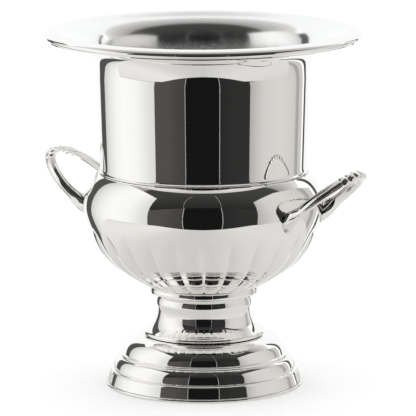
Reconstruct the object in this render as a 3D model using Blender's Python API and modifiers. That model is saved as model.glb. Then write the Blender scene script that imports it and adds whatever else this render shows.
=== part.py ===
"""A footed champagne bucket in silver plate, modelled as the separate pieces it is assembled from.

Metres, +Z up. The origin is the middle of the foot, on the surface the bucket stands on.
The two handles point along +X and -X. A profile point is (radius, height).
"""

import math

import bmesh
import bpy
from mathutils import Matrix, Vector

# ---- Driving dimensions -------------------------------------------------------------------
HEIGHT = 0.260              # foot to top of rim
RIM_RADIUS = 0.115          # outside of the rim bead
NECK_TOP_RADIUS = 0.0769    # neck where the flare begins
NECK_FOOT_RADIUS = 0.0750   # neck where it meets the bowl
BELLY_RADIUS = 0.0874       # widest part of the bowl
WAIST_RADIUS = 0.0344       # narrowest part of the stem
FOOT_RADIUS = 0.0717        # outside of the foot ring
ROLL_RADIUS = 0.0353        # full roll at the top of the stem
FLANGE_RADIUS = 0.0350      # hole in the top of the base, inside the stem
WALL = 0.0012               # thickness of the spun shells
GAP = 0.0003                # clearance between pieces that touch

# ---- Heights, top to bottom ---------------------------------------------------------------
FLARE_HEIGHT = 0.227        # the neck is straight below this
NECK_SEAM_HEIGHT = 0.157    # neck's lower edge, on the bowl
BELLY_HEIGHT = 0.1315       # widest level of the bowl
GADROON_TOP_HEIGHT = 0.118  # the lobes fade in below this
GADROON_FULL_HEIGHT = 0.098
BOWL_BOTTOM_HEIGHT = 0.0734
COLLAR_FOOT_HEIGHT = 0.0676
STEM_FOOT_HEIGHT = 0.0376
BASE_FOOT_HEIGHT = 0.0029

# ---- Rim bead -----------------------------------------------------------------------------
BEAD_WIDTH = 0.0060
BEAD_HEIGHT = 0.0045

# ---- Gadroons: the pressed lobes round the lower bowl -------------------------------------
GADROONS = 26
GADROON_DEPTH = 0.035       # depth of the valleys as a share of the radius
GADROON_ROUNDNESS = 0.92    # 1 is a half circle across each lobe

# ---- Handles: one loop of an ellipse in a plane that rises outwards -----------------------
HANDLE_RISE = math.radians(39.3)
HANDLE_ROOT = (0.0821, 0.1295)        # distance from the axis and height of the plane's inner end
HANDLE_CENTRE = 0.0165                # ellipse's centre, out along the plane from the root
HANDLE_REACH = 0.0368                 # half axis along the plane
HANDLE_HALF_WIDTH = 0.0308            # half axis across
HANDLE_SQUEEZE = 0.08                 # how much narrower than an ellipse the crest is
HANDLE_START = math.radians(-50.0)    # the legs run past the root, into the cut
HANDLE_TILT = math.radians(30.0)      # the strap's long side leans outwards from the plane's normal
PAD_TILT = math.radians(-6.0)         # and nearly not at all where a leg meets the bowl
STRAP_HALF_HEIGHT = 0.0040
STRAP_HALF_THICKNESS = 0.0022
PAD_HALF_HEIGHT = 0.0066              # where a leg meets the bowl
PAD_HALF_THICKNESS = 0.0056
PAD_LENGTH = 0.017                    # the leg widens over this length
CREST_LENGTH = 0.019                  # the bound part of the loop, each way from its middle
CREST_SWELL = 0.0005

# ---- Fixing inside the stem ---------------------------------------------------------------
BOSS_RADIUS = 0.022
BOSS_HEIGHT = 0.0060
STUD_RADIUS = 0.0040
STUD_FOOT_HEIGHT = 0.0225
PLATE_RADIUS = 0.0400
PLATE_HEIGHT = 0.0351       # top of the clamp plate, under the base's inner flange
PLATE_THICKNESS = 0.0020
WASHER_RADIUS = 0.0085
WASHER_THICKNESS = 0.0014
NUT_RADIUS = 0.0075         # across the corners, halved
NUT_THICKNESS = 0.0064

# ---- Steps round the axis -----------------------------------------------------------------
NECK_STEPS = 56
PEDESTAL_STEPS = 48
BOWL_STEPS = GADROONS * 4
SMALL_STEPS = 24
STRAP_SIDES = 12
HANDLE_STATIONS = 29

SILVER = (0.80, 0.79, 0.77, 1.0)
STEEL = (0.55, 0.55, 0.56, 1.0)
COLLECTION_NAME = "champagne_bucket"


# ---- Scene and materials ------------------------------------------------------------------
def clear_scene():
    for thing in list(bpy.data.objects):
        bpy.data.objects.remove(thing)


def new_collection(name):
    group = bpy.data.collections.new(name)
    bpy.context.scene.collection.children.link(group)
    return group


def metal(name, colour, roughness):
    material = bpy.data.materials.new(name)
    material.use_nodes = True
    shader = material.node_tree.nodes["Principled BSDF"]
    shader.inputs["Base Color"].default_value = colour
    shader.inputs["Metallic"].default_value = 1.0
    shader.inputs["Roughness"].default_value = roughness
    return material


def new_object(name, mesh, group, colour=SILVER, roughness=0.05):
    thing = bpy.data.objects.new(name, mesh)
    mesh.materials.append(metal(name, colour, roughness))
    group.objects.link(thing)
    return thing


# ---- Profiles -----------------------------------------------------------------------------
def bezier(start, start_pull, end_pull, end, count):
    """count + 1 points on a cubic curve, both ends included."""
    points = []
    for i in range(count + 1):
        t = i / count
        s = 1 - t
        weights = (s * s * s, 3 * s * s * t, 3 * s * t * t, t * t * t)
        corners = (start, start_pull, end_pull, end)
        points.append(tuple(sum(w * c[k] for w, c in zip(weights, corners)) for k in (0, 1)))
    return points


def oval(centre, half_width, half_height, count, first=0.0, last=-2 * math.pi):
    """Points clockwise round an oval, starting at its outer side."""
    closed = abs(abs(last - first) - 2 * math.pi) < 1e-6
    steps = count if closed else count - 1
    angles = [first + (last - first) * i / steps for i in range(count)]
    return [(centre[0] + half_width * math.cos(a), centre[1] + half_height * math.sin(a)) for a in angles]


def inward(points, distance):
    """The points moved to the left of their outer-side, top-to-bottom run: into the metal."""
    moved = []
    for i, point in enumerate(points):
        before = points[max(i - 1, 0)]
        after = points[min(i + 1, len(points) - 1)]
        run = Vector((after[0] - before[0], after[1] - before[1])).normalized()
        moved.append((max(point[0] + run.y * distance, 0.0), point[1] - run.x * distance))
    return moved


# ---- Builders -----------------------------------------------------------------------------
def profile_mesh(name, profile, closed):
    mesh = bpy.data.meshes.new(name)
    count = len(profile)
    edges = [(i, i + 1) for i in range(count - 1)]
    if closed:
        edges.append((count - 1, 0))
    mesh.from_pydata([(r, 0.0, z) for r, z in profile], edges, [])
    return mesh


def turned(name, profile, group, steps=PEDESTAL_STEPS, closed=True):
    """A profile swept round the Z axis. An open profile starts and ends on the axis."""
    thing = new_object(name, profile_mesh(name, profile, closed), group)
    screw = thing.modifiers.new("turn", "SCREW")
    screw.axis = "Z"
    screw.steps = steps
    screw.render_steps = steps
    screw.use_merge_vertices = True
    screw.merge_threshold = 0.00001
    screw.use_smooth_shade = True
    return thing


def as_mesh(thing):
    """The object with its modifiers applied to its mesh."""
    graph = bpy.context.evaluated_depsgraph_get()
    made = bpy.data.meshes.new_from_object(thing.evaluated_get(graph))
    thing.modifiers.clear()
    thing.data = made
    return thing


def prism(name, radius, bottom, top, group, sides=SMALL_STEPS, colour=STEEL, bore=0.0):
    """An upright cylinder or, with few sides, a hexagon, with an optional round hole."""
    mesh = bpy.data.meshes.new(name)
    shape = bmesh.new()
    bmesh.ops.create_cone(shape, cap_ends=True, segments=sides, radius1=radius, radius2=radius, depth=top - bottom)
    shape.to_mesh(mesh)
    shape.free()
    thing = new_object(name, mesh, group, colour, 0.3)
    thing.location = (0, 0, (top + bottom) / 2)
    if bore:
        drill = prism(name + "_drill", bore, bottom - GAP, top + GAP, cutters)
        as_cutter(drill)
        cut(thing, drill)
    return thing


def as_cutter(thing):
    thing.hide_render = True
    thing.display_type = "WIRE"
    return thing


def cut(thing, cutter):
    boolean = thing.modifiers.new("cut", "BOOLEAN")
    boolean.operation = "DIFFERENCE"
    boolean.object = cutter
    return thing


def loft(name, rings, group):
    """Skin over rings of equal count, with a flat cap on each end."""
    sides = len(rings[0])
    points = [p for ring in rings for p in ring]
    faces = []
    for i in range(len(rings) - 1):
        for k in range(sides):
            n = (k + 1) % sides
            faces.append((i * sides + k, i * sides + n, (i + 1) * sides + n, (i + 1) * sides + k))
    faces.append(tuple(reversed(range(sides))))
    faces.append(tuple(range(len(points) - sides, len(points))))
    mesh = bpy.data.meshes.new(name)
    mesh.from_pydata(points, [], faces)
    shape = bmesh.new()
    shape.from_mesh(mesh)
    bmesh.ops.recalc_face_normals(shape, faces=shape.faces)
    shape.to_mesh(mesh)
    shape.free()
    mesh.shade_smooth()
    return new_object(name, mesh, group)


# ---- Upper body ---------------------------------------------------------------------------
def rim_bead(group):
    centre = (RIM_RADIUS - BEAD_WIDTH / 2, HEIGHT - BEAD_HEIGHT / 2)
    return turned("rim_bead", oval(centre, BEAD_WIDTH / 2, BEAD_HEIGHT / 2, 8), group, NECK_STEPS)


def neck_outer():
    lip = (RIM_RADIUS - BEAD_WIDTH / 2 + 0.0006, HEIGHT - BEAD_HEIGHT - GAP - WALL)
    root = (NECK_TOP_RADIUS, FLARE_HEIGHT)
    flare = bezier(lip, (0.0865, lip[1] + 0.0004), (NECK_TOP_RADIUS, 0.2470), root, 7)
    seam = (NECK_FOOT_RADIUS, NECK_SEAM_HEIGHT + 0.0030)
    hem = (NECK_FOOT_RADIUS + 0.0012, NECK_SEAM_HEIGHT + GAP)
    return flare + [seam, hem]


def neck_shell(group):
    outer = neck_outer()
    inner = inward(outer[:-1], WALL)[::-1]
    foot = (NECK_FOOT_RADIUS - WALL, NECK_SEAM_HEIGHT + GAP)
    return turned("neck_shell", outer + [foot] + inner, group, NECK_STEPS)


def bowl_outer():
    """From the seam under the neck to the edge of the flat bottom, over the crests of the lobes."""
    belly = (BELLY_RADIUS, BELLY_HEIGHT)
    turn = (0.0766, 0.1007)
    bottom_edge = (0.0416, BOWL_BOTTOM_HEIGHT + 0.0003)
    shoulder = bezier((0.0764, 0.1564), (0.0815, 0.1520), (BELLY_RADIUS, 0.1420), belly, 4)
    flank = bezier(belly, (BELLY_RADIUS, 0.1220), (0.0807, 0.1074), turn, 3)
    under = bezier(turn, (0.0693, 0.0888), (0.0539, 0.0803), bottom_edge, 4)
    return shoulder + flank[1:] + under[1:]


def gadroon_fade(height):
    """0 above the lobes, 1 where they are at full depth."""
    t = (GADROON_TOP_HEIGHT - height) / (GADROON_TOP_HEIGHT - GADROON_FULL_HEIGHT)
    t = min(max(t, 0.0), 1.0)
    return t * t * (3 - 2 * t)


def gadroon_drop(angle):
    """0 on the crest of a lobe and 1 in the valley between two, as a round arc."""
    lobe = angle * GADROONS / (2 * math.pi) + 0.5
    from_crest = abs(2 * (lobe % 1.0) - 1)
    k = GADROON_ROUNDNESS
    return (1 - math.sqrt(1 - (k * from_crest) ** 2)) / (1 - math.sqrt(1 - k * k))


def press_gadroons(thing):
    """Pushes the valleys in. A crest lies on the +X axis, under the middle of the handle."""
    as_mesh(thing)
    floor_level = BOWL_BOTTOM_HEIGHT + WALL + 0.0001
    for vertex in thing.data.vertices:
        x, y, z = vertex.co
        radius = math.hypot(x, y)
        if radius < 0.030 or (z < floor_level and radius < 0.041):
            continue
        push = GADROON_DEPTH * gadroon_fade(z) * gadroon_drop(math.atan2(y, x))
        vertex.co.x = x * (1 - push)
        vertex.co.y = y * (1 - push)
    return thing


def bowl_shell(group):
    outer = bowl_outer()
    edge = outer[-1]
    top_inner = (NECK_FOOT_RADIUS - WALL, NECK_SEAM_HEIGHT)
    top_outer = (0.0764, NECK_SEAM_HEIGHT)
    inner = inward(outer, WALL)[1:-1][::-1]
    floor_edge = (edge[0] - 0.0035, BOWL_BOTTOM_HEIGHT + WALL)
    inside = [(0.0, BOWL_BOTTOM_HEIGHT + WALL), floor_edge] + inner
    outside = [top_outer] + outer + [(edge[0] - 0.0020, BOWL_BOTTOM_HEIGHT), (0.0, BOWL_BOTTOM_HEIGHT)]
    thing = turned("bowl_shell", inside + [top_inner] + outside, group, BOWL_STEPS, closed=False)
    return press_gadroons(thing)


# ---- Handles ------------------------------------------------------------------------------
def handle_plane_point(angle):
    out = HANDLE_CENTRE + HANDLE_REACH * math.sin(angle)
    squeeze = 1 - HANDLE_SQUEEZE * max(math.sin(angle), 0.0) ** 2
    across = HANDLE_HALF_WIDTH * math.cos(angle) * squeeze
    along = out * math.cos(HANDLE_RISE)
    up = out * math.sin(HANDLE_RISE)
    return Vector((HANDLE_ROOT[0] + along, across, HANDLE_ROOT[1] + up))


def handle_direction(angle):
    step = 0.001
    return (handle_plane_point(angle + step) - handle_plane_point(angle - step)).normalized()


def smooth(t):
    t = min(max(t, 0.0), 1.0)
    return t * t * (3 - 2 * t)


def pad_share(angle):
    """1 where a leg meets the bowl, 0 where it has its plain strap section."""
    leg_end = math.asin(-HANDLE_CENTRE / HANDLE_REACH)
    nearest_end = min(angle, math.pi - angle)
    from_root = (nearest_end - leg_end) * HANDLE_REACH
    return smooth(1 - from_root / PAD_LENGTH)


def strap_size(angle):
    """Half height and half thickness of the strap at this place on the loop."""
    from_crest = abs(angle - math.pi / 2) * HANDLE_HALF_WIDTH
    pad = pad_share(angle)
    crest = 1.0 if from_crest < CREST_LENGTH else 0.0
    height = STRAP_HALF_HEIGHT + (PAD_HALF_HEIGHT - STRAP_HALF_HEIGHT) * pad + CREST_SWELL * crest
    thickness = STRAP_HALF_THICKNESS + (PAD_HALF_THICKNESS - STRAP_HALF_THICKNESS) * pad + CREST_SWELL * crest
    return height, thickness


def strap_ring(angle):
    middle = handle_plane_point(angle)
    forward = handle_direction(angle)
    tilt = HANDLE_TILT + (PAD_TILT - HANDLE_TILT) * pad_share(angle)
    normal = Vector((-math.sin(HANDLE_RISE), 0, math.cos(HANDLE_RISE)))
    outwards = forward.cross(normal)
    tall = normal * math.cos(tilt) + outwards * math.sin(tilt)
    thick = outwards * math.cos(tilt) - normal * math.sin(tilt)
    height, thickness = strap_size(angle)
    ring = []
    for k in range(STRAP_SIDES):
        turn = 2 * math.pi * k / STRAP_SIDES
        ring.append(middle + tall * height * math.cos(turn) + thick * thickness * math.sin(turn))
    return ring


def bowl_cutter():
    """The bowl's outside as a solid, grown by the gap, to shape the handles' ends."""
    outside = [(r + GAP, z) for r, z in bowl_outer()]
    profile = [(0.0, outside[0][1])] + outside + [(0.0, outside[-1][1])]
    return as_cutter(turned("bowl_cutter", profile, cutters, 96, closed=False))


def handle(name, facing, cutter, group):
    """facing is 0 for the handle on +X and pi for the one on -X."""
    last = math.pi - HANDLE_START
    angles = [HANDLE_START + (last - HANDLE_START) * i / (HANDLE_STATIONS - 1) for i in range(HANDLE_STATIONS)]
    spin = Matrix.Rotation(facing, 4, "Z")
    rings = [[spin @ p for p in strap_ring(angle)] for angle in angles]
    return cut(loft(name, rings, group), cutter)


# ---- Pedestal -----------------------------------------------------------------------------
def stem_collar(group):
    top = BOWL_BOTTOM_HEIGHT - GAP
    bottom = COLLAR_FOOT_HEIGHT + GAP
    middle = (top + bottom) / 2
    face = oval((0.0375, middle), 0.0020, (top - bottom) / 2, 5, math.pi / 2, -math.pi / 2)
    bore = [(0.0280, bottom), (0.0280, top)]
    return turned("stem_collar", face + bore, group)


def stem_outer():
    roll_radius = 0.0049
    roll_centre = (ROLL_RADIUS - roll_radius, COLLAR_FOOT_HEIGHT - roll_radius)
    roll = oval(roll_centre, roll_radius, roll_radius, 4, math.radians(78.0), 0.0)
    waist = (WAIST_RADIUS, 0.0545)
    upper = bezier(roll[-1], (ROLL_RADIUS - 0.0001, 0.0600), (WAIST_RADIUS, 0.0585), waist, 3)
    lower = bezier(waist, (WAIST_RADIUS, 0.0500), (0.0362, 0.0452), (0.0428, 0.0408), 4)
    lip = [(0.0440, 0.0401), (0.0443, 0.0389), (0.0438, STEM_FOOT_HEIGHT)]
    return roll + upper[1:] + lower[1:] + lip


def pedestal_stem(group):
    outer = stem_outer()
    waist_index = min(range(len(outer)), key=lambda i: outer[i][0])
    lower_inside = inward(outer[waist_index:-3], WALL)
    foot_inside = [(0.0412, 0.0401), (0.0416, STEM_FOOT_HEIGHT)]
    upper_inside = [(0.0300, COLLAR_FOOT_HEIGHT), (0.0300, COLLAR_FOOT_HEIGHT - WALL), (0.0338, 0.0640)]
    inside = upper_inside + lower_inside + foot_inside
    return turned("pedestal_stem", outer + inside[::-1], group)


def base_outer():
    dome = bezier((0.0420, STEM_FOOT_HEIGHT - GAP), (0.0518, 0.0368), (0.0572, 0.0312), (0.0586, 0.0238), 5)
    line = [(0.0606, 0.0234), (0.0611, 0.0226)]
    band = bezier((0.0614, 0.0217), (0.0632, 0.0207), (0.0656, 0.0168), (0.0660, 0.0124), 3)
    step = [(0.0675, 0.0119), (0.0678, 0.0112)]
    skirt = [(0.0681, 0.0106), (0.0705, BASE_FOOT_HEIGHT)]
    return dome + line + band + step + skirt


def pedestal_base(group):
    outer = base_outer()
    flange_edge = [(FLANGE_RADIUS, outer[0][1]), (FLANGE_RADIUS, outer[0][1] - WALL)]
    dome_inside = inward(outer[:6], WALL)[1:]
    lower_inside = [(0.0590, 0.0215), (0.0640, 0.0124), (0.0662, 0.0104), (0.0688, BASE_FOOT_HEIGHT)]
    inside = flange_edge + dome_inside + lower_inside
    return turned("pedestal_base", outer + inside[::-1], group)


def foot_ring(group):
    top = BASE_FOOT_HEIGHT - GAP
    face = oval((FOOT_RADIUS - 0.0013, top / 2), 0.0013, top / 2, 5, math.pi / 2, -math.pi / 2)
    bore = [(0.0680, 0.0), (0.0680, top)]
    return turned("foot_ring", face + bore, group)


# ---- Fixing that holds the bowl on the pedestal -------------------------------------------
def fixing(group):
    boss_top = BOWL_BOTTOM_HEIGHT - GAP
    boss_foot = boss_top - BOSS_HEIGHT
    prism("bowl_boss", BOSS_RADIUS, boss_foot, boss_top, group, 32)
    prism("tie_stud", STUD_RADIUS, STUD_FOOT_HEIGHT, boss_foot - GAP, group)
    bore = STUD_RADIUS + GAP
    plate_foot = PLATE_HEIGHT - PLATE_THICKNESS
    prism("clamp_plate", PLATE_RADIUS, plate_foot, PLATE_HEIGHT, group, 48, bore=bore)
    washer_top = plate_foot - GAP
    washer_foot = washer_top - WASHER_THICKNESS
    prism("lock_washer", WASHER_RADIUS, washer_foot, washer_top, group, 32, bore=bore)
    nut_top = washer_foot - GAP
    prism("clamp_nut", NUT_RADIUS, nut_top - NUT_THICKNESS, nut_top, group, 6, bore=bore)


clear_scene()
bucket = new_collection(COLLECTION_NAME)
cutters = new_collection("cutters")

rim_bead(bucket)
neck_shell(bucket)
bowl_shell(bucket)
handle_cutter = bowl_cutter()
handle("handle_right", 0.0, handle_cutter, bucket)
handle("handle_left", math.pi, handle_cutter, bucket)
stem_collar(bucket)
pedestal_stem(bucket)
pedestal_base(bucket)
foot_ring(bucket)
fixing(bucket)
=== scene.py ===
"""The finished look of the footed champagne bucket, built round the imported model.

Metres, +Z up, in the model's own frame. The handles point along +X and -X.
A profile point is (radius, height).
"""

import math

import bmesh
import bpy
import numpy as np
from mathutils import Matrix, Vector


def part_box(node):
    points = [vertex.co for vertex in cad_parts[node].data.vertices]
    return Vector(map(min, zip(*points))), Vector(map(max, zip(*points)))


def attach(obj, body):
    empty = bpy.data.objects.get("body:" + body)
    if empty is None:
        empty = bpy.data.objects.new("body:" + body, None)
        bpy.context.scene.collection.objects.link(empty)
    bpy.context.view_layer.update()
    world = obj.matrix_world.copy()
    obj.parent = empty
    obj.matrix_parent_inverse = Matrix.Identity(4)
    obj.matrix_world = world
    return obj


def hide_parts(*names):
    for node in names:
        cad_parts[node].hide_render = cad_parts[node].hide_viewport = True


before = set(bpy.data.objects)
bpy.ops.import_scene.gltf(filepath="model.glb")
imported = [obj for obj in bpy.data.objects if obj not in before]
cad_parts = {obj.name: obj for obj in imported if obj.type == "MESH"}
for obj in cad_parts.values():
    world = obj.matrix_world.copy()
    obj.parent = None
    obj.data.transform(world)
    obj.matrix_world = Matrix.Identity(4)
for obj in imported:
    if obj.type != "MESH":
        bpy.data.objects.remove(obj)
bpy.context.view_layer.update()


def top_of(node):
    """Height of a node's top."""
    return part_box(node)[1].z


def foot_of(node):
    """Height of a node's lowest point."""
    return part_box(node)[0].z


def reach_of(node):
    """Largest radius of a node that is round about the Z axis."""
    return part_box(node)[1].y


# ---- Driving dimensions: from the frame where a node's box gives them ----------------------
HEIGHT = top_of("rim_bead")
RIM_RADIUS = reach_of("rim_bead")
BEAD_FOOT = foot_of("rim_bead")
LIP_RADIUS = reach_of("neck_shell")
SEAM_HEIGHT = foot_of("neck_shell")
BOWL_TOP = top_of("bowl_shell")
BOWL_BOTTOM = foot_of("bowl_shell")
BELLY_RADIUS = reach_of("bowl_shell")
COLLAR_RADIUS = reach_of("stem_collar")
STEM_TOP = top_of("pedestal_stem")
STEM_FOOT = foot_of("pedestal_stem")
BASE_TOP = top_of("pedestal_base")
BASE_FOOT = foot_of("pedestal_base")
FOOT_RADIUS = reach_of("foot_ring")

WALL = 0.0012               # thickness of the spun shells
GAP = 0.0003                # clearance between pieces that touch

# ---- Upper body ----------------------------------------------------------------------------
BEAD_ROUND = 0.0100         # the rolled edge's crest lies this far in from its outer face
BEAD_SKIRT = 0.0025         # the edge hangs this far below the lip, outside it
TAIL = (0.0940, 0.2567)     # and runs in to here, where the neck's inside takes over
NECK_TOP_RADIUS = 0.0769    # neck where the flare begins
NECK_FOOT_RADIUS = 0.0750   # neck just above its hem
HEM_RADIUS = 0.0764         # small rounded hem at the neck's foot
HEM_ROUND = 0.0006
FLARE_HEIGHT = 0.227        # the neck is straight below this
BELL_HEIGHT = 0.212         # and its inside below this
BELLY_HEIGHT = 0.1315       # widest level of the bowl
SHOULDER_RADIUS = 0.0764    # bowl at the seam
SEAT_RADIUS = 0.0416        # edge of the bowl's flat bottom
MATT_BELOW = 0.229          # the inside is dullest below this height
BRIGHT_ABOVE = 0.244        # and brightest above this one

# ---- Gadroons: the pressed lobes round the lower bowl --------------------------------------
GADROONS = 26               # a crest lies on the +X axis, under the middle of the handle
GADROON_TOP = 0.121         # the lobes fade in below this height
GADROON_FULL = 0.104        # and have their full depth below this one
GADROON_DEPTH = 0.035       # depth of the valleys as a share of the radius
GADROON_ROUNDNESS = 0.92    # 1 is a half circle across each lobe

# ---- Pedestal ------------------------------------------------------------------------------
COLLAR_ROUND = (0.0024, 0.0022)       # depth of the collar's rounding above and below its widest line
COLLAR_FULLNESS = 2.8       # 2 is an oval, more is boxier
COLLAR_WIDEST = 0.0009      # height of its widest line above its foot
COLLAR_BORE = 0.0280
ROLL_RADIUS = 0.0353        # full roll at the top of the stem
ROLL_HEIGHT = 0.0608        # level of its widest line
ROLL_ROUND = 0.0100         # radius of the roll in section
WAIST = (0.0344, 0.0545)    # narrowest part of the stem
STEM_BORE = 0.0300          # hole in the stem's top
LIP_START = (0.0428, 0.0408)          # the stem turns over into its lip here
LIP_EDGE = (0.0443, 0.0389)           # outermost line of this lip
FLANGE_RADIUS = 0.0350      # hole in the top of the base, inside the stem
DOME_START = 0.0420         # flat top of the base ends here
DOME_FOOT = (0.0586, 0.0238)
RIDGE = (0.0604, 0.0229)    # centre of the raised ring between dome and band
BAND_TOP = (0.0614, 0.0215)
BAND_FOOT = (0.0660, 0.0124)
STEP = (0.0672, 0.0113)     # centre of the raised ring between band and skirt
SKIRT_TOP = (0.0682, 0.0102)
SKIRT_FOOT = 0.0705
RING_ROUND = 0.0007         # how round these two rings are in section
FOOT_ROUND = 0.0013         # and the bead under the base
FOOT_BORE = 0.0680

# ---- Handles: one loop of an ellipse in a plane that rises outwards ------------------------
HANDLE_RISE = math.radians(39.3)
HANDLE_ROOT = (0.0821, 0.1295)        # distance from the axis and height of the plane's inner end
HANDLE_CENTRE = 0.0165                # ellipse's centre, out along the plane from the root
HANDLE_REACH = 0.0368                 # half axis along the plane
HANDLE_HALF_WIDTH = 0.0308            # half axis across
HANDLE_SQUEEZE = 0.08                 # how much narrower than an ellipse the crest is
HANDLE_START = math.radians(-50.0)    # the legs run past the root, into the bowl's wall
HANDLE_TILT = math.radians(30.0)      # the strap's long side leans outwards from the plane's normal
PAD_TILT = math.radians(-6.0)         # and nearly not at all where a leg meets the bowl
STRAP_HALF_HEIGHT = 0.0040
STRAP_HALF_THICKNESS = 0.0022
STRAP_FULLNESS = 0.14                 # 0 is an oval section, more is fuller at the edges
PAD_HALF_HEIGHT = 0.0066              # where a leg meets the bowl
PAD_HALF_THICKNESS = 0.0056
PAD_LENGTH = 0.017                    # the leg widens over this length
REED_DEPTH = 0.16                     # grooves between the three reeds, as a share of the thickness
REED_PLACE = 0.70                     # grooves' place, as a share of the half height
REED_WIDTH = 0.075                    # and their width
BAND_PITCH = 0.0061                   # one bulging band on the crest
BANDS_EACH_WAY = 3
BAND_SWELL = 0.00040                  # a band's middle stands this far out
BAND_CUT = 0.00085                    # and the groove between two bands this far in
BAND_FULLNESS = 4.5                   # more makes the bands flatter and the grooves narrower

# ---- Fineness ------------------------------------------------------------------------------
BODY_STEPS = 320
PEDESTAL_STEPS = 256
LOBE_STEPS = 18             # across one gadroon
STRAP_SIDES = 80
STRAP_STATIONS = 220
CUT_SHARE = 0.2             # share of the strap's stations, from each end, that move to its cut end
SHARP_EDGE = math.radians(38.0)


# ---- Curves --------------------------------------------------------------------------------
def smooth(t):
    """Eases from 0 to 1."""
    t = np.clip(t, 0.0, 1.0)
    return t * t * (3 - 2 * t)


def bezier(start, start_pull, end_pull, end, count):
    """count + 1 points on a cubic curve, both ends included."""
    t = np.linspace(0.0, 1.0, count + 1)[:, None]
    s = 1 - t
    corners = [np.array(p) for p in (start, start_pull, end_pull, end)]
    weights = (s ** 3, 3 * s * s * t, 3 * s * t * t, t ** 3)
    return sum(w * p for w, p in zip(weights, corners))


def arc(centre, half_width, half_height, first, last, count):
    """Points on an oval from one angle to another, in degrees, both ends included."""
    turn = np.radians(np.linspace(first, last, count + 1))
    return np.stack([centre[0] + half_width * np.cos(turn), centre[1] + half_height * np.sin(turn)], axis=1)


def cushion(centre, half_width, half_height, first, last, count, fullness):
    """Like an arc, but fuller at its corners: 2 is an oval, more is boxier."""
    turn = np.radians(np.linspace(first, last, count + 1))
    wide = np.sign(np.cos(turn)) * np.abs(np.cos(turn)) ** (2 / fullness)
    high = np.sign(np.sin(turn)) * np.abs(np.sin(turn)) ** (2 / fullness)
    return np.stack([centre[0] + half_width * wide, centre[1] + half_height * high], axis=1)


def straight(start, end, count):
    """count + 1 points on a line, both ends included."""
    return np.linspace(start, end, count + 1)


def chain(*runs):
    """Joins runs of points into one, leaving out a point that repeats the one before it."""
    points = np.concatenate([np.atleast_2d(run) for run in runs])
    keep = np.ones(len(points), bool)
    keep[1:] = np.linalg.norm(np.diff(points, axis=0), axis=1) > 1e-6
    return points[keep]


def inward(points, distance):
    """The points of a run down the outer side, moved at right angles to it into the metal."""
    run = np.gradient(points, axis=0)
    run /= np.linalg.norm(run, axis=1)[:, None]
    return points + distance * np.stack([run[:, 1], -run[:, 0]], axis=1)


# ---- Meshes --------------------------------------------------------------------------------
def new_piece(name, points, faces, *replaced, slot="silver_plate", material=None):
    """A smooth-shaded piece of the bucket that takes the place of the replaced nodes."""
    mesh = bpy.data.meshes.new(name)
    mesh.from_pydata(np.asarray(points).tolist(), [], faces)
    mesh.shade_smooth()
    mesh.set_sharp_from_angle(angle=SHARP_EDGE)
    piece = bpy.data.objects.new(name, mesh)
    bpy.context.scene.collection.objects.link(piece)
    mesh.materials.append(material)
    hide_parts(*replaced)
    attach(piece, "root")
    return piece


def grid_faces(rows, columns, rows_closed=False):
    """Quads over rows of points that each close on themselves."""
    faces = []
    for i in range(rows if rows_closed else rows - 1):
        here = i * columns
        there = ((i + 1) % rows) * columns
        for k in range(columns):
            n = (k + 1) % columns
            faces.append((here + k, there + k, there + n, here + n))
    return faces


def turned_points(profile, angles):
    """A row of points round the Z axis for each profile point."""
    radius = profile[:, 0][:, None]
    height = np.broadcast_to(profile[:, 1][:, None], (len(profile), len(angles)))
    return np.stack([radius * np.cos(angles), radius * np.sin(angles), height], axis=2)


def turned(name, profile, steps, material, lining=None, lined_from=0):
    """A closed profile, down its outer side and up its inner side, swept round the Z axis.

    The part of the profile from point lined_from on takes the lining material.
    """
    angles = np.linspace(0.0, 2 * math.pi, steps, endpoint=False)
    points = turned_points(profile, angles).reshape(-1, 3)
    faces = grid_faces(len(profile), steps, rows_closed=True)
    piece = new_piece(name + "_silver", points, faces, name, material=material)
    if lining is not None:
        add_lining(piece.data, lining, lined_from * steps)
    return piece


def add_lining(mesh, lining, first_face):
    """Gives the faces from first_face on the lining material."""
    mesh.materials.append(lining)
    number = np.zeros(len(mesh.polygons), dtype=np.int32)
    number[first_face:] = 1
    mesh.polygons.foreach_set("material_index", number)


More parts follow.
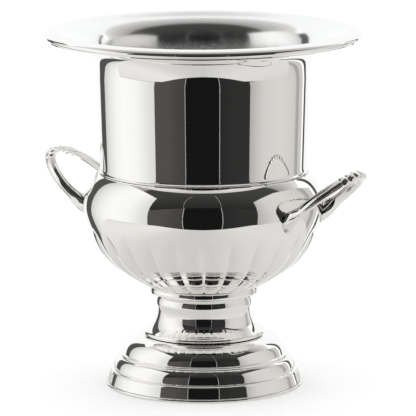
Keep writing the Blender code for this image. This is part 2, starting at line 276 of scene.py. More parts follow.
# ---- Material building blocks --------------------------------------------------------------
class Nodes:
    """A material's node tree with short calls to add and wire nodes."""

    def __init__(self, name):
        self.material = bpy.data.materials.new(name)
        self.material.use_nodes = True
        self.tree = self.material.node_tree
        self.shader = self.tree.nodes["Principled BSDF"]

    def add(self, kind, settings=None, **inputs):
        """Adds a node. An input is a value or another node's socket; _ in its name is a space."""
        node = self.tree.nodes.new(kind)
        for key, value in (settings or {}).items():
            setattr(node, key, value)
        for key, value in inputs.items():
            self.wire(node.inputs[key.replace("_", " ")], value)
        return node

    def wire(self, socket, value):
        """Links a node's socket to an input, or sets the input's value."""
        if isinstance(value, bpy.types.NodeSocket):
            self.tree.links.new(value, socket)
        else:
            socket.default_value = value

    def math(self, operation, first, second=0.0):
        node = self.tree.nodes.new("ShaderNodeMath")
        node.operation = operation
        self.wire(node.inputs[0], first)
        self.wire(node.inputs[1], second)
        return node.outputs[0]

    def spread(self, value, low, high, new_low, new_high):
        """Maps low to high onto new_low to new_high, held at both ends."""
        node = self.add("ShaderNodeMapRange", None, Value=value, From_Min=low, From_Max=high,
                        To_Min=new_low, To_Max=new_high)
        return node.outputs["Result"]

    def place(self):
        """The point's own place on the object."""
        return self.add("ShaderNodeTexCoord").outputs["Object"]

    def noise(self, where, scale, detail=2.0, roughness=0.5):
        node = self.add("ShaderNodeTexNoise", None, Vector=where, Scale=scale, Detail=detail,
                        Roughness=roughness)
        return node.outputs["Fac"]

    def lathe_place(self, where, along=1.0, round_about=0.02):
        """Coordinates that change fast across a turned surface and slowly round it."""
        parts = self.add("ShaderNodeSeparateXYZ", None, Vector=where).outputs
        x, y, z = parts["X"], parts["Y"], parts["Z"]
        square = self.math("ADD", self.math("MULTIPLY", x, x), self.math("MULTIPLY", y, y))
        radius = self.math("SQRT", square)
        angle = self.math("MULTIPLY", self.math("ARCTAN2", y, x), round_about)
        joined = self.add("ShaderNodeCombineXYZ", None, X=self.math("MULTIPLY", radius, along),
                          Y=self.math("MULTIPLY", z, along), Z=angle)
        return joined.outputs["Vector"]

    def blend(self, amount, first, second):
        """Mixes two colours."""
        node = self.tree.nodes.new("ShaderNodeMix")
        node.data_type = "RGBA"
        self.wire(node.inputs["Factor"], amount)
        self.wire(node.inputs["A"], first)
        self.wire(node.inputs["B"], second)
        return node.outputs["Result"]

    def bump(self, height, distance, under=None):
        """A relief, on top of another one where under is given."""
        node = self.add("ShaderNodeBump", None, Height=height, Distance=distance, Strength=1.0)
        if under is not None:
            self.wire(node.inputs["Normal"], under)
        return node.outputs["Normal"]


# ---- Materials -----------------------------------------------------------------------------
def polished_silver(name, wave=0.000012, low_gloss=0.012, high_gloss=0.045):
    """Buffed silver plate: faint hand-polishing waves, fine wipe marks and a little tarnish."""
    m = Nodes(name)
    where = m.place()
    clouds = m.noise(where, 38.0, 3.0, 0.55)
    smears = m.noise(m.lathe_place(where, 1.0, 0.05), 260.0, 4.0, 0.6)
    tarnish = m.spread(clouds, 0.55, 0.80, 0.0, 0.35)
    colour = m.blend(tarnish, (0.965, 0.957, 0.940, 1.0), (0.930, 0.905, 0.860, 1.0))
    gloss = m.math("ADD", m.spread(clouds, 0.30, 0.75, low_gloss, high_gloss * 0.5),
                   m.spread(smears, 0.35, 0.80, 0.0, high_gloss * 0.5))
    waves = m.bump(m.noise(where, 30.0, 1.0, 0.4), wave)
    wipes = m.bump(m.noise(where, 900.0, 3.0, 0.6), 0.0000004, waves)
    m.wire(m.shader.inputs["Base Color"], colour)
    m.wire(m.shader.inputs["Roughness"], gloss)
    m.wire(m.shader.inputs["Normal"], wipes)
    m.shader.inputs["Metallic"].default_value = 1.0
    return m.material


def satin_silver(name):
    """The inside as it left the lathe: fine rings smear what it mirrors up and down."""
    m = Nodes(name)
    where = m.place()
    clouds = m.noise(where, 24.0, 3.0, 0.55)
    rings = m.noise(m.lathe_place(where, 1.0, 0.004), 1500.0, 3.0, 0.6)
    streaks = m.noise(m.lathe_place(where, 0.05, 1.0), 16.0, 4.0, 0.65)
    stain = m.spread(clouds, 0.45, 0.80, 0.0, 0.30)
    colour = m.blend(stain, (0.955, 0.955, 0.950, 1.0), (0.915, 0.905, 0.885, 1.0))
    height = m.add("ShaderNodeSeparateXYZ", None, Vector=where).outputs["Z"]
    worn = m.spread(height, MATT_BELOW, BRIGHT_ABOVE, 0.24, 0.0)
    streaked = m.math("ADD", m.spread(streaks, 0.30, 0.75, 0.13, 0.19), worn)
    gloss = m.math("ADD", streaked, m.spread(rings, 0.35, 0.75, 0.0, 0.03))
    m.wire(m.shader.inputs["Base Color"], colour)
    m.wire(m.shader.inputs["Roughness"], gloss)
    m.wire(m.shader.inputs["Normal"], m.bump(rings, 0.0000008))
    round_about = m.add("ShaderNodeTangent", {"direction_type": "RADIAL", "axis": "Z"})
    m.wire(m.shader.inputs["Tangent"], round_about.outputs["Tangent"])
    m.shader.inputs["Anisotropic"].default_value = 0.75
    m.shader.inputs["Anisotropic Rotation"].default_value = 0.25
    m.shader.inputs["Metallic"].default_value = 1.0
    return m.material


def plain_metal(name, colour, shade, gloss):
    """Turned metal of the fixing: lathe lines and a mottled surface."""
    m = Nodes(name)
    where = m.place()
    clouds = m.noise(where, 160.0, 4.0, 0.6)
    lines = m.noise(m.lathe_place(where, 1.0, 0.01), 2600.0, 2.0, 0.5)
    m.wire(m.shader.inputs["Base Color"], m.blend(m.spread(clouds, 0.35, 0.70, 0.0, 1.0), colour, shade))
    m.wire(m.shader.inputs["Roughness"], m.spread(clouds, 0.3, 0.75, gloss, gloss + 0.15))
    m.wire(m.shader.inputs["Normal"], m.bump(lines, 0.00002))
    m.shader.inputs["Metallic"].default_value = 1.0
    return m.material


# ---- Upper body ----------------------------------------------------------------------------
def rim_bead(material, lining):
    """A rolled edge: round outside, hanging over the lip, and nearly flat inside."""
    crest = (RIM_RADIUS - BEAD_ROUND, HEIGHT)
    skirt_foot = BEAD_FOOT - BEAD_SKIRT
    half_height = (HEIGHT - skirt_foot) / 2
    skirt_inside = LIP_RADIUS + GAP
    face = arc((crest[0], HEIGHT - half_height), BEAD_ROUND, half_height, 90.0, -70.0, 44)
    skirt = [(skirt_inside - GAP / 2, face[-1][1] + 0.0004), (skirt_inside, BEAD_FOOT)]
    sole = [(TAIL[0] + GAP, BEAD_FOOT), (TAIL[0] + GAP / 2, TAIL[1] - GAP)]
    slope = bezier(TAIL, (TAIL[0] + 0.0036, TAIL[1] + 0.0009),
                   (crest[0] - 0.0036, HEIGHT - 0.0007), crest, 28)
    outer = chain(face, skirt, sole)
    return turned("rim_bead", chain(outer, slope[:-1]), BODY_STEPS, material, lining, len(outer))


def neck_shell(material, lining):
    """Straight neck with its flare. Its inside opens like a bell up to the rim's tail."""
    lip = (LIP_RADIUS, BEAD_FOOT - GAP - WALL)
    flare_foot = (NECK_TOP_RADIUS, FLARE_HEIGHT)
    flare = bezier(lip, (0.0865, lip[1] + 0.0004), (NECK_TOP_RADIUS, 0.2470), flare_foot, 56)
    seam = (NECK_FOOT_RADIUS, SEAM_HEIGHT + 0.0036)
    wall = straight(flare[-1], seam, 24)
    hem_centre = (HEM_RADIUS - HEM_ROUND, SEAM_HEIGHT + HEM_ROUND)
    hem = bezier(seam, (NECK_FOOT_RADIUS - 0.0001, SEAM_HEIGHT + 0.0020),
                 (hem_centre[0], SEAM_HEIGHT + 0.0016), (HEM_RADIUS - 0.0002, SEAM_HEIGHT + 0.0011), 8)
    edge = arc(hem_centre, HEM_ROUND, HEM_ROUND, 50.0, -90.0, 6)
    outer = chain(flare, wall, hem, edge)
    top_inside = (NECK_TOP_RADIUS - WALL, BELL_HEIGHT)
    foot = (NECK_FOOT_RADIUS - WALL, SEAM_HEIGHT)
    bell = bezier(top_inside, (top_inside[0], 0.2400), (0.0775, TAIL[1] - 0.0037), TAIL, 56)
    inner = chain(straight(foot, top_inside, 24), bell)
    ledge = [(TAIL[0], BEAD_FOOT - GAP), (LIP_RADIUS, BEAD_FOOT - GAP)]
    return turned("neck_shell", chain(outer, inner, ledge), BODY_STEPS, material, lining, len(outer))


def bowl_outer():
    """From the seam under the neck to the edge of the flat bottom, over the crests of the lobes."""
    belly = (BELLY_RADIUS, BELLY_HEIGHT)
    turn = (0.0766, 0.1007)
    shoulder = bezier((SHOULDER_RADIUS, BOWL_TOP - 0.0006), (0.0815, 0.1520),
                      (BELLY_RADIUS, 0.1420), belly, 26)
    flank = bezier(belly, (BELLY_RADIUS, 0.1220), (0.0807, 0.1074), turn, 26)
    under = bezier(turn, (0.0693, 0.0888), (0.0539, 0.0803), (SEAT_RADIUS, BOWL_BOTTOM + 0.0003), 34)
    return chain(shoulder, flank, under)


def gadroon_fade(height):
    """0 above the lobes, 1 where they are at full depth."""
    return smooth((GADROON_TOP - height) / (GADROON_TOP - GADROON_FULL))


def gadroon_drop(angle):
    """0 on the crest of a lobe and 1 in the valley between two, as a round arc."""
    from_crest = np.abs(2 * ((angle * GADROONS / (2 * math.pi) + 0.5) % 1.0) - 1)
    k = GADROON_ROUNDNESS
    return (1 - np.sqrt(1 - (k * from_crest) ** 2)) / (1 - math.sqrt(1 - k * k))


def lobe_angles():
    """Angles round the bowl, closer together near the valleys."""
    across = np.linspace(0.0, 1.0, LOBE_STEPS, endpoint=False)
    eased = 0.55 * across + 0.45 * (1 - np.cos(math.pi * across)) / 2
    lobes = np.arange(GADROONS)[:, None] - 0.5
    return ((lobes + eased[None, :]) * 2 * math.pi / GADROONS).ravel()


def bowl_shell(material, lining):
    """Round-shouldered bowl, its lobes pressed through the metal, with a flat seat under it."""
    outer = bowl_outer()
    edge = outer[-1]
    inner = inward(outer, WALL)[1:-1][::-1]
    top_outer = (SHOULDER_RADIUS, BOWL_TOP)
    top_inner = (NECK_FOOT_RADIUS - WALL, BOWL_TOP)
    floor_edge = (edge[0] - 0.0035, BOWL_BOTTOM + WALL)
    floor_rows = straight((0.0, BOWL_BOTTOM + WALL), floor_edge, 12)[1:]
    under_rows = straight((edge[0] - 0.0020, BOWL_BOTTOM), (0.0, BOWL_BOTTOM), 12)[:-1]
    profile = chain(top_outer, outer, under_rows, floor_rows, inner, top_inner)
    angles = lobe_angles()
    points = turned_points(profile, angles)
    above_floor = profile[:, 1] > BOWL_BOTTOM + WALL + 0.0001
    lobed = above_floor | np.isin(np.arange(len(profile)), np.arange(1, len(outer) + 1))
    push = GADROON_DEPTH * (gadroon_fade(profile[:, 1]) * lobed)[:, None] * gadroon_drop(angles)[None, :]
    points[:, :, :2] *= (1 - push)[:, :, None]
    return bowl_from(points, profile, material, lining)


def bowl_from(points, profile, material, lining):
    """The rows of points joined into the bowl, with a fan over the floor's middle, above and below.

    Rows up to split run down the outside and under the seat, and the others up the inside.
    """
    rows, columns = points.shape[:2]
    split = int(np.argmin(profile[:, 0] + (profile[:, 1] > BOWL_BOTTOM + WALL / 2)))
    flat = points.reshape(-1, 3).tolist()
    under = len(flat)
    flat.append((0.0, 0.0, BOWL_BOTTOM))
    flat.append((0.0, 0.0, BOWL_BOTTOM + WALL))
    outside, inside = [], []
    for i in range(split):
        outside += shifted(grid_faces(2, columns), i * columns)
    for i in range(split + 1, rows - 1):
        inside += shifted(grid_faces(2, columns), i * columns)
    inside += ring_between(0, (rows - 1) * columns, columns)
    for k in range(columns):
        n = (k + 1) % columns
        outside.append((split * columns + k, under, split * columns + n))
        inside.append(((split + 1) * columns + n, under + 1, (split + 1) * columns + k))
    piece = new_piece("bowl_shell_silver", flat, outside + inside, "bowl_shell", material=material)
    add_lining(piece.data, lining, len(outside))
    return piece


def shifted(faces, offset):
    """The faces with every vertex number raised by offset."""
    return [tuple(i + offset for i in face) for face in faces]


def ring_between(first, last, columns):
    """Quads from the row that starts at last to the one that starts at first."""
    faces = []
    for k in range(columns):
        n = (k + 1) % columns
        faces.append((last + k, first + k, first + n, last + n))
    return faces


# ---- Handles -------------------------------------------------------------------------------
def handle_line(angle):
    """Points on the handle's centreline for an array of angles round its loop."""
    out = HANDLE_CENTRE + HANDLE_REACH * np.sin(angle)
    squeeze = 1 - HANDLE_SQUEEZE * np.maximum(np.sin(angle), 0.0) ** 2
    across = HANDLE_HALF_WIDTH * np.cos(angle) * squeeze
    along = HANDLE_ROOT[0] + out * math.cos(HANDLE_RISE)
    up = HANDLE_ROOT[1] + out * math.sin(HANDLE_RISE)
    return np.stack([along, across, up], axis=1)


def unit(vectors):
    """Each vector at length 1."""
    return vectors / np.linalg.norm(vectors, axis=-1, keepdims=True)


def strap_section(from_root, from_crest, turn):
    """Offsets along the strap's height and thickness for each station and each turn round it."""
    pad = smooth(1 - from_root / PAD_LENGTH)[:, None]
    in_band = (np.abs(from_crest) < BAND_PITCH * BANDS_EACH_WAY)[:, None]
    phase = (from_crest / BAND_PITCH % 1.0) * 2 - 1
    bulge = BAND_SWELL - (BAND_SWELL + BAND_CUT) * np.abs(phase) ** BAND_FULLNESS
    swell = bulge[:, None] * in_band
    reed = (1 - pad) * (1 - in_band)
    half_height = STRAP_HALF_HEIGHT + (PAD_HALF_HEIGHT - STRAP_HALF_HEIGHT) * pad + swell
    half_thickness = STRAP_HALF_THICKNESS + (PAD_HALF_THICKNESS - STRAP_HALF_THICKNESS) * pad + swell
    u = np.cos(turn)[None, :]
    v = np.sin(turn)[None, :]
    groove = np.exp(-((np.abs(u) - REED_PLACE) / REED_WIDTH) ** 2)
    fullness = 1 - STRAP_FULLNESS * (1 - pad)
    tall = half_height * u
    thick = half_thickness * np.sign(v) * np.abs(v) ** fullness * (1 - REED_DEPTH * groove * reed)
    return tall, thick


def bowl_radius_at(height):
    """The bowl's radius over the crests of its lobes."""
    outer = bowl_outer()
    return np.interp(height, outer[::-1, 1], outer[::-1, 0])


def clear_stations(edge):
    """Where a lengthwise line of the strap comes out of the bowl and goes back in, in stations."""
    clear = np.hypot(edge[:, 0], edge[:, 1]) - bowl_radius_at(edge[:, 2]) - GAP / 2
    middle = len(edge) // 2
    first = np.nonzero(clear[:middle] < 0)[0][-1]
    last = middle + np.nonzero(clear[middle:] < 0)[0][0]
    start = first + clear[first] / (clear[first] - clear[first + 1])
    end = last - clear[last] / (clear[last] - clear[last - 1])
    return start, end


def handle(name, facing, material):
    """A cast strap loop, cut to the bowl. facing is 0 for the one on +X and pi for the one on -X."""
    fine = np.linspace(HANDLE_START, math.pi - HANDLE_START, 2001)
    path = handle_line(fine)
    steps = np.linalg.norm(np.diff(path, axis=0), axis=1)
    length = np.concatenate([[0.0], np.cumsum(steps)])
    even = np.linspace(0.0, length[-1], STRAP_STATIONS)
    angle = np.interp(even, length, fine)
    middle = handle_line(angle)
    forward = unit(handle_line(angle + 0.001) - handle_line(angle - 0.001))
    normal = np.array([-math.sin(HANDLE_RISE), 0.0, math.cos(HANDLE_RISE)])
    outwards = unit(np.cross(forward, normal))
    leg_end = math.asin(-HANDLE_CENTRE / HANDLE_REACH)
    from_root = (np.minimum(angle, math.pi - angle) - leg_end) * HANDLE_REACH
    upright = smooth(1 - from_root / PAD_LENGTH)
    tilt = (HANDLE_TILT + (PAD_TILT - HANDLE_TILT) * upright)[:, None]
    tall_way = normal * np.cos(tilt) + outwards * np.sin(tilt)
    thick_way = outwards * np.cos(tilt) - normal * np.sin(tilt)
    from_crest = even - length[-1] / 2
    turn = np.linspace(0.0, 2 * math.pi, STRAP_SIDES, endpoint=False)
    tall, thick = strap_section(from_root, from_crest, turn)
    rows = middle[:, None, :] + tall[:, :, None] * tall_way[:, None, :]
    rows = rows + thick[:, :, None] * thick_way[:, None, :]
    station = np.arange(STRAP_STATIONS)
    for k in range(STRAP_SIDES):
        eased = place_along(*clear_stations(rows[:, k]))
        rows[:, k] = np.stack([np.interp(eased, station, rows[:, k, axis]) for axis in range(3)], axis=1)
    spin = np.array(Matrix.Rotation(facing, 3, "Z"))
    points = rows.reshape(-1, 3) @ spin.T
    faces = grid_faces(STRAP_STATIONS, STRAP_SIDES)
    faces.append(tuple(range(STRAP_SIDES)))
    last = (STRAP_STATIONS - 1) * STRAP_SIDES
    faces.append(tuple(reversed(range(last, last + STRAP_SIDES))))
    piece = new_piece(name + "_silver", points, faces, name, material=material)
    face_out(piece.data)
    return piece


def place_along(start, end):
    """Station numbers from start to end, which stay as they were except near the cut ends."""
    final = STRAP_STATIONS - 1
    even = np.linspace(0.0, 1.0, STRAP_STATIONS) * final
    reach = final * CUT_SHARE
    head = start * np.clip(1 - even / reach, 0.0, 1.0)
    tail = (final - end) * np.clip(1 - (final - even) / reach, 0.0, 1.0)
    return even + head - tail


def face_out(mesh):
    """Turns every face outwards."""
    shape = bmesh.new()
    shape.from_mesh(mesh)
    bmesh.ops.recalc_face_normals(shape, faces=shape.faces)
    shape.to_mesh(mesh)
    shape.free()


# ---- Pedestal ------------------------------------------------------------------------------
def stem_collar(material):
    """A boxy half-round ring, rounder under its widest line."""
    top = top_of("stem_collar")
    bottom = foot_of("stem_collar")
    widest = bottom + COLLAR_WIDEST
    above, below = COLLAR_ROUND
    shoulder = cushion((COLLAR_RADIUS - above, widest), above, top - widest, 90.0, 0.0, 30, COLLAR_FULLNESS)
    under = arc((COLLAR_RADIUS - below, widest), below, widest - bottom, 0.0, -90.0, 12)
    profile = chain(shoulder, under, (COLLAR_BORE, bottom), (COLLAR_BORE, top))
    return turned("stem_collar", profile, PEDESTAL_STEPS, material)


def pedestal_stem(material):
    """From the roll under the collar, in to the waist and out to the lip that stands on the base."""
    middle = (ROLL_RADIUS - ROLL_ROUND, ROLL_HEIGHT)
    top_turn = math.degrees(math.asin((STEM_TOP - ROLL_HEIGHT) / ROLL_ROUND))
    roll = arc(middle, ROLL_ROUND, ROLL_ROUND, top_turn, 0.0, 22)
    upper = bezier(roll[-1], (ROLL_RADIUS, 0.0597), (WAIST[0], 0.0577), WAIST, 20)
    lower = bezier(WAIST, (WAIST[0], 0.0500), (0.0362, 0.0452), LIP_START, 30)
    lip = bezier(LIP_START, (0.0439, 0.0401), (LIP_EDGE[0], 0.0396), LIP_EDGE, 8)
    lip_under = bezier(LIP_EDGE, (LIP_EDGE[0], 0.0382), (0.0441, 0.0377), (0.0437, STEM_FOOT), 6)
    body = chain(upper, lower)
    inside = inward(body[2:-3], WALL)[::-1]
    bore = [(0.0416, STEM_FOOT), (0.0412, 0.0401)]
    top_inside = [(0.0335, 0.0640), (STEM_BORE, STEM_TOP - WALL), (STEM_BORE, STEM_TOP)]
    profile = chain(roll, body, lip, lip_under, bore, inside, top_inside)
    return turned("pedestal_stem", profile, PEDESTAL_STEPS, material)


def raised_ring(start, pull_in, pull_crest, centre, last_turn, leave, pull_out, pull_end, end):
    """A small ring between two parts of the base: out of a hollow, over its crest and down again."""
    crest = (centre[0], centre[1] + RING_ROUND)
    return chain(bezier(start, pull_in, pull_crest, crest, 5),
                 arc(centre, RING_ROUND, RING_ROUND, 90.0, last_turn, 8),
                 bezier(leave, pull_out, pull_end, end, 4))


def pedestal_base(material):
    """Stepped base: dome, raised ring, band, raised ring and skirt, hollow underneath."""
    dome = bezier((DOME_START, BASE_TOP), (0.0518, 0.0368), (0.0572, 0.0312), DOME_FOOT, 34)
    ridge = raised_ring(DOME_FOOT, (0.0590, 0.0231), (0.0596, 0.0237), RIDGE, -35.0,
                        (0.06097, 0.0225), (0.0608, 0.0221), (0.0610, 0.0219), BAND_TOP)
    band = bezier(BAND_TOP, (0.0632, 0.0207), (0.0656, 0.0168), BAND_FOOT, 24)
    step = raised_ring(BAND_FOOT, (0.0663, 0.0118), (0.0667, 0.0121), STEP, -20.0,
                       (0.06786, 0.01106), (0.0677, 0.0108), (0.0679, 0.0107), SKIRT_TOP)
    skirt = bezier(SKIRT_TOP, (0.0688, 0.0080), (0.0697, 0.0052), (SKIRT_FOOT, BASE_FOOT), 16)
    outer = chain(dome, ridge, band, step, skirt)
    flange = [(FLANGE_RADIUS, BASE_TOP - WALL), (FLANGE_RADIUS, BASE_TOP)]
    dome_inside = inward(dome, WALL)[1:][::-1]
    band_inside = inward(band, WALL)[::-1]
    foot_inside = [(0.0689, BASE_FOOT), (0.0668, 0.0100)]
    profile = chain(outer, foot_inside, band_inside, dome_inside, flange)
    return turned("pedestal_base", profile, PEDESTAL_STEPS, material)


def foot_ring(material):
    """The bead the bucket stands on."""
    top = top_of("foot_ring")
    face = arc((FOOT_RADIUS - FOOT_ROUND, top / 2), FOOT_ROUND, top / 2, 90.0, -90.0, 20)
    return turned("foot_ring", chain(face, (FOOT_BORE, 0.0), (FOOT_BORE, top)), PEDESTAL_STEPS, material)


# ---- Stage: floor, reflectors, camera ------------------------------------------------------
CAMERA_TURN = math.radians(28.0)      # round from -Y towards +X
CAMERA_DISTANCE = 2.882
CAMERA_HEIGHT = 0.652
CAMERA_PITCH = math.radians(10.28)
CAMERA_YAW = math.radians(0.061)
CAMERA_ROLL = math.radians(-0.19)
CAMERA_LENS = 349.4
CAMERA_SENSOR = 36.0

# The room round the bucket, seen from the camera: side is to the right of the bucket, away is
# behind it. Only the metal sees these panels.
LEFT_WALL = -1.15
RIGHT_WALL = 1.50
BACK_WALL = 1.50
CEILING = 1.50
FRONT = -3.2
WALL_FOOT = -3.0            # the walls go on down below the table
WALL_KNEE = 0.2             # the side walls are upright below this height
GAP_HEAD = 1.25             # top of the dark gaps beside the back wall
FLOOR_RADIUS = 6.0
CLOSE = 0.01                # distance between two panels, one behind the other


def glow(name, strength, shade=(1.0, 1.0, 1.0)):
    """A plain lit surface of a studio panel."""
    material = bpy.data.materials.new(name)
    material.use_nodes = True
    tree = material.node_tree
    tree.nodes.clear()
    light = tree.nodes.new("ShaderNodeEmission")
    light.inputs["Color"].default_value = (*shade, 1.0)
    light.inputs["Strength"].default_value = strength
    out = tree.nodes.new("ShaderNodeOutputMaterial")
    tree.links.new(light.outputs[0], out.inputs["Surface"])
    return material


def graded_glow(name, shade=(1.0, 1.0, 1.0)):
    """A glowing panel whose strength is given at its corners."""
    material = glow(name, 1.0, shade)
    tree = material.node_tree
    level = tree.nodes.new("ShaderNodeAttribute")
    level.attribute_name = "level"
    tree.links.new(level.outputs["Fac"], tree.nodes["Emission"].inputs["Strength"])
    return material


def reflection_only(thing):
    """The thing shows in the metal and nowhere else."""
    thing.visible_camera = False
    thing.visible_diffuse = False
    thing.visible_transmission = False
    thing.visible_shadow = False


def room_point(side, away, height):
    """A point given as the camera sees it, in the model's frame."""
    x = side * math.cos(CAMERA_TURN) - away * math.sin(CAMERA_TURN)
    y = side * math.sin(CAMERA_TURN) + away * math.cos(CAMERA_TURN)
    return (x, y, height)


def panel(name, rows, material, levels=None):
    """A panel from rows of (side, away, height) points, with an optional level for each point."""
    columns = len(rows[0])
    points = [room_point(*point) for row in rows for point in row]
    faces = []
    for i in range(len(rows) - 1):
        for k in range(columns - 1):
            a = i * columns + k
            faces.append((a, a + 1, a + columns + 1, a + columns))
    mesh = bpy.data.meshes.new(name)
    mesh.from_pydata(points, [], faces)
    mesh.materials.append(material)
    if levels is not None:
        level = mesh.attributes.new("level", "FLOAT", "POINT")
        level.data.foreach_set("value", np.asarray(levels, dtype=np.float32).ravel())
    thing = bpy.data.objects.new(name, mesh)
    bpy.context.scene.collection.objects.link(thing)
    reflection_only(thing)
    return thing


def wall(name, stops, foot, head, material):
    """An upright panel through plan stops (side, away, level), from foot to head height."""
    rows = [[(side, away, height) for side, away, level in stops] for height in (foot, head)]
    levels = [[level for side, away, level in stops]] * 2
    return panel(name, rows, material, levels)


def flat_disc(name, radius, height, material):
    """A round stage floor about the Z axis."""
    mesh = bpy.data.meshes.new(name)
    shape = bmesh.new()
    bmesh.ops.create_circle(shape, cap_ends=True, segments=128, radius=radius)
    shape.to_mesh(mesh)
    shape.free()
    mesh.materials.append(material)
    thing = bpy.data.objects.new(name, mesh)
    thing.location.z = height
    bpy.context.scene.collection.objects.link(thing)
    return thing


def floor_material():
    """Pale matt floor, lit to white, where only the contact shadow shows."""
    m = Nodes("pale_floor")
    shade = m.spread(m.noise(m.place(), 14.0, 3.0, 0.5), 0.3, 0.7, 0.88, 0.90)
    colour = m.add("ShaderNodeCombineColor", None, Red=shade, Green=shade, Blue=shade)
    m.wire(m.shader.inputs["Base Color"], colour.outputs["Color"])
    m.shader.inputs["Roughness"].default_value = 0.9
    m.shader.inputs["Specular IOR Level"].default_value = 0.0
    m.shader.inputs["Emission Color"].default_value = (1.0, 1.0, 1.0, 1.0)
    m.shader.inputs["Emission Strength"].default_value = 0.16
    return m.material


def studio():
    """White surroundings for the floor, and the panels that the metal mirrors."""
    world = bpy.data.worlds.new("studio_white")
    bpy.context.scene.world = world
    world.use_nodes = True
    back = world.node_tree.nodes["Background"]
    back.inputs["Color"].default_value = (1.0, 1.0, 1.0, 1.0)
    back.inputs["Strength"].default_value = 1.1
    bpy.context.scene.view_settings.view_transform = "Standard"
    left_box()
    right_screen()
    back_wall()
    ceiling()
    front_opening()


def left_box():
    """The big soft light on the left, brightest in its middle; its front edge leans back."""
    cloth = graded_glow("soft_box_cloth", (1.0, 1.0, 0.995))
    # away at the foot, away at the head, level
    stops = ((-0.86, -0.72, 0.72), (-0.62, -0.60, 0.80), (-0.42, -0.42, 0.90), (-0.25, -0.25, 0.97),
             (0.10, 0.10, 1.00), (0.35, 0.35, 0.95), (0.66, 0.66, 0.82), (1.05, 1.05, 0.62))
    foot = [(LEFT_WALL, low, WALL_FOOT) for low, high, level in stops]
    middle = [(LEFT_WALL, low, WALL_KNEE) for low, high, level in stops]
    head = [(LEFT_WALL, high, CEILING) for low, high, level in stops]
    panel("soft_box", [foot, middle, head], cloth, [[level for low, high, level in stops]] * 3)


def right_screen_head(away):
    """Top of the grey reflector at this depth: its front edge leans back and its top drops behind."""
    return (RIGHT_WALL, max(away, -1.02), min(CEILING, CEILING - 0.5 * (away + 0.1)))


def right_screen():
    """The grey reflector on the right: lower towards the back, dimmer in a strip near its far end."""
    cloth = graded_glow("grey_screen_cloth", (1.0, 0.985, 0.955))
    # away, level
    stops = ((-1.22, 0.44), (-0.90, 0.56), (-0.60, 0.66), (0.00, 0.70), (0.45, 0.66), (0.75, 0.62),
             (0.86, 0.42), (1.02, 0.38), (1.10, 0.60), (1.50, 0.64))
    foot = [(RIGHT_WALL, away, WALL_FOOT) for away, level in stops]
    middle = [(RIGHT_WALL, away, WALL_KNEE) for away, level in stops]
    head = [right_screen_head(away) for away, level in stops]
    panel("grey_screen", [foot, middle, head], cloth, [[level for away, level in stops]] * 3)


def back_wall():
    """The white back wall with a dark gap at each side of it."""
    cloth = graded_glow("back_wall_cloth", (0.985, 0.992, 1.0))
    dark = glow("back_gap_cloth", 0.085)
    left_end, right_end = -0.93, 1.05
    behind = BACK_WALL + CLOSE
    stops = ((left_end, BACK_WALL, 1.0), (0.0, BACK_WALL, 1.0), (right_end, BACK_WALL, 0.98))
    wall("back_wall", stops, WALL_FOOT, CEILING, cloth)
    left_gap = ((LEFT_WALL - CLOSE, 1.05, 0.0), (left_end + CLOSE, behind + CLOSE, 0.0))
    right_gap = ((right_end - CLOSE, behind, 0.0), (1.30, behind, 0.0))
    wall("back_gap_left", left_gap, WALL_FOOT, GAP_HEAD, dark)
    wall("back_gap_right", right_gap, WALL_FOOT, GAP_HEAD, dark)


# The pale edges between the three dark cloths on the ceiling, as (side, away), front end last.
LEFT_EDGE = ((-0.23, -0.76), (-0.38, -1.00), (-0.52, -1.25), (-0.76, -1.96))
RIGHT_EDGE = ((0.22, -0.72), (0.33, -1.00), (0.45, -1.30), (0.66, -1.96))
EDGE_WIDTH = 0.028


def ceiling():
    """The ceiling is dark towards the camera and lit behind a soft slanting border."""
    cloth = graded_glow("ceiling_cloth", (1.0, 0.985, 0.965))
    sides = (-2.6, LEFT_WALL, 0.0, 1.1, 2.6)
    border = (-0.16, -0.12, 0.22, 0.20, 0.20)
    rows, levels = [], []
    for away, level in ((-1.96, 0.022), (-1.2, 0.034), (-0.6, 0.050)):
        rows.append([(side, away, CEILING) for side in sides])
        levels.append([level] * len(sides))
    for behind, level in ((0.0, 0.055), (0.12, 0.34), (0.5, 0.50), (1.40, 0.80)):
        rows.append([(side, edge + behind, CEILING) for side, edge in zip(sides, border)])
        levels.append([level] * len(sides))
    panel("ceiling", rows, cloth, levels)
    edge_cloth = glow("cloth_edge", 0.30)
    half_width = EDGE_WIDTH / 4
    for name, places in (("ceiling_edge_left", LEFT_EDGE), ("ceiling_edge_right", RIGHT_EDGE)):
        rows = [[(side + way * half_width, away, CEILING - CLOSE / 2) for side, away in places]
                for way in (-1, 1)]
        panel(name, rows, edge_cloth)


def front_opening():
    """The dark side of the studio behind the camera: three cloths with pale edges between them."""
    foot, head = -3.5, 4.6
    left_border = (-1.08, -1.26)        # side at the foot and at the head
    right_border = (0.92, 1.10)
    cloths = (
        ("front_left", ((-4.8, -4.8), (-2.6, -2.6), left_border),
         (0.085, 0.080, 0.055), (1.0, 0.97, 0.94)),
        ("front_middle", (left_border, right_border),
         (0.008, 0.008), (1.0, 1.0, 1.0)),
        ("front_right", (right_border, (2.2, 2.2), (4.9, 4.9)),
         (0.022, 0.030, 0.032), (1.0, 0.98, 0.97)),
    )
    for name, stops, shades, tint in cloths:
        rows = [[(stop[0], FRONT, foot) for stop in stops], [(stop[1], FRONT, head) for stop in stops]]
        panel(name, rows, graded_glow(name + "_cloth", tint), [shades, shades])
    edge_cloth = glow("front_edge", 0.60)
    for name, (low, high) in (("front_edge_left", left_border), ("front_edge_right", right_border)):
        rows = [[(side, FRONT + CLOSE, height), (side + EDGE_WIDTH, FRONT + CLOSE, height)]
                for side, height in ((low, foot), (high, head))]
        panel(name, rows, edge_cloth)


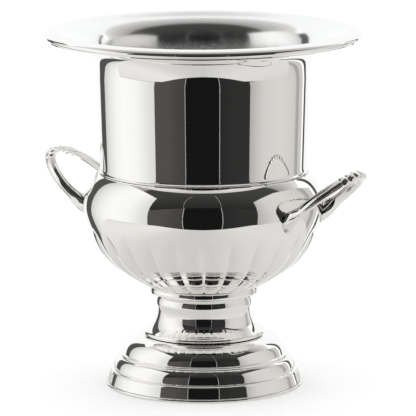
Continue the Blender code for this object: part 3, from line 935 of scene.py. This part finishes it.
# The table's front border, as (side, away), and its painted light from side to side, as (side, level):
# brighter on the left where the soft box lights it, darkest in the middle as a painted shadow of the
# bucket.
TABLE_FRONT = ((-0.76, -0.10), (-0.72, -0.26), (-0.66, -0.36), (-0.57, -0.45), (-0.47, -0.51),
               (-0.36, -0.49), (-0.22, -0.45), (-0.10, -0.42), (0.0, -0.41), (0.10, -0.42),
               (0.22, -0.45), (0.36, -0.49), (0.47, -0.51), (0.57, -0.45), (0.66, -0.36),
               (0.72, -0.26), (0.76, -0.10))
TABLE_PAINTED_LIGHT = ((-0.76, 0.78), (-0.40, 0.83), (-0.30, 0.835), (-0.22, 0.78), (-0.16, 0.70), (-0.06, 0.63),
               (0.0, 0.62), (0.09, 0.69), (0.20, 0.745), (0.40, 0.74), (0.76, 0.70))
TABLE_BACK = 0.12
TABLE_COLUMNS = 77
EDGE_DROP = -0.001          # the edge strips lie this far under the table top


def edge_strip(name, places, inner, outer, material):
    """A strip along (side, away) places, each scaled from the axis by its inner and outer growth."""
    rows = [[(side * grown, away * grown, EDGE_DROP) for (side, away), grown in zip(places, growth)]
            for growth in (inner, outer)]
    panel(name, rows, material)


def table():
    """The table top as the metal sees it: a glowing sheet with painted light and shade, with a grey line
    down its left and a gap on its right.
    """
    cloth = graded_glow("table_top_painted_light", (1.0, 0.992, 0.968))
    edge = glow("table_edge", 0.40)
    sides = np.linspace(TABLE_FRONT[0][0], TABLE_FRONT[-1][0], TABLE_COLUMNS)
    front_edge = np.interp(sides, *np.transpose(TABLE_FRONT))
    # Painted light and shade: the table glows brighter on the left, as if lit by the soft box, and darker
    # in the middle, as a painted shadow of the bucket.
    shade = np.interp(sides, *np.transpose(TABLE_PAINTED_LIGHT))
    front = [(side, away, 0.0) for side, away in zip(sides, front_edge)]
    middle = [(side, 0.0, 0.0) for side in sides]
    back = [(side, TABLE_BACK, 0.0) for side in sides]
    panel("table_in_reflections", [front, middle, back], cloth, [shade, shade, shade])
    left = ((sides[0], TABLE_BACK),) + TABLE_FRONT[:5]
    edge_strip("table_edge_left", left, [0.99] * len(left), [1.03] * len(left), edge)
    right = ((0.47, -0.51), (0.57, -0.45), (0.64, -0.385))
    edge_strip("table_edge_right", right, [0.99] * len(right), (1.06, 1.05, 1.0), glow("table_gap", 0.06))


def floors():
    """The floor the camera sees, and the table that only the metal sees."""
    floor = flat_disc("floor", FLOOR_RADIUS, 0.0, floor_material())
    floor.visible_glossy = False
    floor.visible_diffuse = False
    floor.visible_shadow = False
    table()


def camera():
    """A long lens that looks down at the bucket by about ten degrees."""
    data = bpy.data.cameras.new("camera")
    data.lens = CAMERA_LENS
    data.sensor_width = CAMERA_SENSOR
    data.clip_start = 0.1
    data.clip_end = 50.0
    thing = bpy.data.objects.new("camera", data)
    bpy.context.scene.collection.objects.link(thing)
    place = Vector((*room_point(0.0, -CAMERA_DISTANCE, 0.0)[:2], CAMERA_HEIGHT))
    turn = CAMERA_TURN - CAMERA_YAW
    level = math.cos(CAMERA_PITCH)
    ahead = Vector((-math.sin(turn) * level, math.cos(turn) * level, -math.sin(CAMERA_PITCH)))
    facing = ahead.to_track_quat("-Z", "Y").to_matrix().to_4x4()
    thing.matrix_world = Matrix.Translation(place) @ facing @ Matrix.Rotation(CAMERA_ROLL, 4, "Z")
    bpy.context.scene.camera = thing


# ---- Making --------------------------------------------------------------------------------
body_silver = polished_silver("silver_body")
cast_silver = polished_silver("silver_cast", wave=0.000006, low_gloss=0.03, high_gloss=0.07)
satin = satin_silver("silver_lathe_finish")
brass = plain_metal("turned_brass", (0.78, 0.60, 0.32, 1.0), (0.62, 0.45, 0.22, 1.0), 0.28)
steel = plain_metal("zinc_steel", (0.66, 0.66, 0.67, 1.0), (0.50, 0.50, 0.53, 1.0), 0.30)

camera()
studio()
floors()

rim_bead(body_silver, satin)
neck_shell(body_silver, satin)
bowl_shell(body_silver, satin)
handle("handle_right", 0.0, cast_silver)
handle("handle_left", math.pi, cast_silver)
stem_collar(body_silver)
pedestal_stem(body_silver)
pedestal_base(body_silver)
foot_ring(body_silver)

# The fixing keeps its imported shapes.
for node_name, metal in (("bowl_boss", brass), ("tie_stud", steel), ("clamp_plate", steel),
                         ("lock_washer", steel), ("clamp_nut", steel)):
    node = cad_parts[node_name]
    node.data.materials.clear()
    node.data.materials.append(metal)
